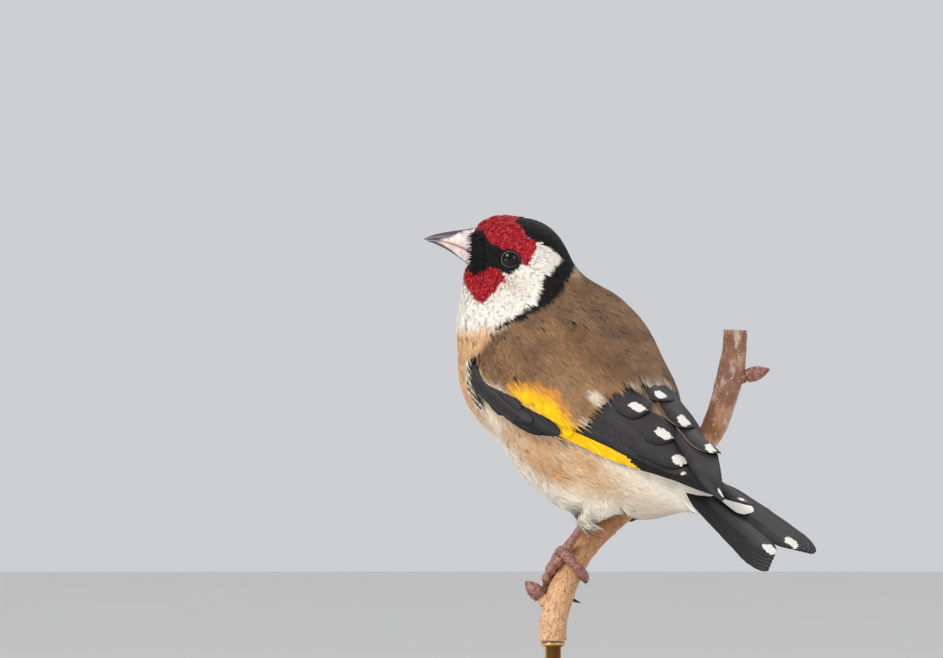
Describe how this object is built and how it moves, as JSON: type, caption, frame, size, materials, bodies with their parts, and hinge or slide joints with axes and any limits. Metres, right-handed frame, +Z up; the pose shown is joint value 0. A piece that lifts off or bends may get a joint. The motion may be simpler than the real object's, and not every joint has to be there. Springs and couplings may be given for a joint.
{
  "type": "perched goldfinch figure",
  "caption": "Life-size perched European goldfinch with a red face and a yellow wing bar, gripping a short curved twig on a rod and a round base.",
  "frame": {"origin": "middle of the base's underside", "axes": "+Z up, the bird's body faces -Y, its left side is +X, its head is turned 45 degrees to its left"},
  "size_m": [0.088, 0.1031, 0.1309],
  "materials": {
    "face_feathers": "soft matt feathers, red mask, black cap and white cheek",
    "body_feathers": "soft matt feathers, brown above, buff and white below",
    "flight_feathers": "smooth black feathers with a yellow bar and white tips",
    "bill_horn": "ivory pink horn, satin",
    "eye_gloss": "wet dark gloss",
    "leg_skin": "pinkish brown scaled skin",
    "claw_horn": "dark horn, satin",
    "bark": "warm brown bark with pale lenticels",
    "bud_scales": "reddish brown bud scales",
    "rod_metal": "satin brass",
    "base_wood": "dark turned wood, satin"
  },
  "bodies": {
    "root": {"head": "face_feathers", "neck": "body_feathers", "torso": "body_feathers", "tail": "flight_feathers", "bill_upper": "bill_horn", "bill_lower": "bill_horn", "perch": "bark", "perch_bud_1": "bud_scales", "perch_bud_2": "bud_scales", "stand_rod": "rod_metal", "stand_base": "base_wood", "eye_left": "eye_gloss", "wing_left": "flight_feathers", "thigh_left": "body_feathers", "leg_left": "leg_skin", "claw_left_inner": "claw_horn", "claw_left_middle": "claw_horn", "claw_left_outer": "claw_horn", "claw_left_hind": "claw_horn", "eye_right": "eye_gloss", "wing_right": "flight_feathers", "thigh_right": "body_feathers", "leg_right": "leg_skin", "claw_right_inner": "claw_horn", "claw_right_middle": "claw_horn", "claw_right_outer": "claw_horn", "claw_right_hind": "claw_horn"}
  },
  "joints": []
}
